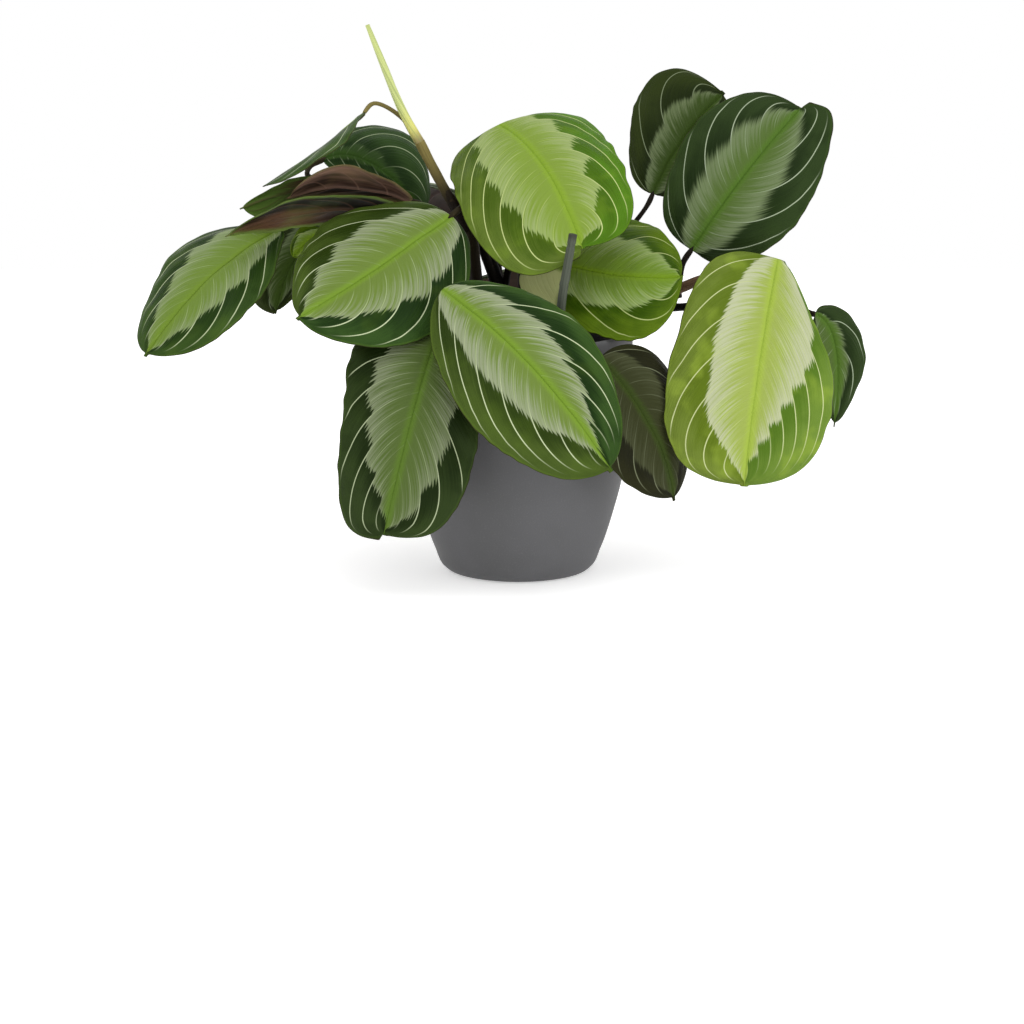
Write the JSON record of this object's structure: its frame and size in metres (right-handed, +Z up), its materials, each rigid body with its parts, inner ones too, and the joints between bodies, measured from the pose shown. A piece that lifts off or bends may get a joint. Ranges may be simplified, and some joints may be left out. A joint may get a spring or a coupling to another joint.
{
  "type": "potted prayer plant",
  "caption": "Potted prayer plant with broad patterned leaves on arching brown petioles, one rolled young leaf and a cut stub, in a round matte grey pot filled with soil",
  "frame": {"origin": "centre of the pot's flat underside", "axes": "+Z up out of the pot, -Y towards the viewer of the picture, +X to the viewer's right"},
  "size_m": [0.4092, 0.248, 0.3085],
  "materials": {
    "pot": "matte anthracite grey, smooth",
    "soil": "dark crumbly potting soil",
    "stem": "brown petioles, slightly glossy",
    "young_leaf": "pale yellow-green rolled leaf",
    "stub": "grey-green cut stalk",
    "light_leaf": "yellow-green leaf with silver band and pale veins, satin",
    "dark_leaf": "dark green leaf with silver-green band and pale veins, satin"
  },
  "bodies": {
    "root": {"pot": "pot", "soil": "soil", "stem_left": "stem", "stem_front": "stem", "stem_centre": "stem", "stem_right": "stem", "stem_back": "stem", "spear_leaf": "young_leaf", "cut_stub": "stub", "leaf_crown": "light_leaf", "leaf_front": "dark_leaf", "leaf_left_mid": "dark_leaf", "leaf_left_low": "dark_leaf", "leaf_far_left": "dark_leaf", "leaf_left_fold": "dark_leaf", "leaf_left_curl": "dark_leaf", "leaf_left_high": "dark_leaf", "leaf_left_arch": "dark_leaf", "leaf_left_under": "dark_leaf", "leaf_left_back": "dark_leaf", "leaf_left_small": "dark_leaf", "leaf_right_back": "dark_leaf", "leaf_right_high": "dark_leaf", "leaf_centre_right": "light_leaf", "leaf_right_low": "light_leaf", "leaf_far_right": "dark_leaf", "leaf_right_dark": "dark_leaf", "leaf_back_low": "dark_leaf", "leaf_back_left": "dark_leaf", "leaf_back_mid": "dark_leaf", "leaf_back_right": "dark_leaf"}
  },
  "joints": []
}
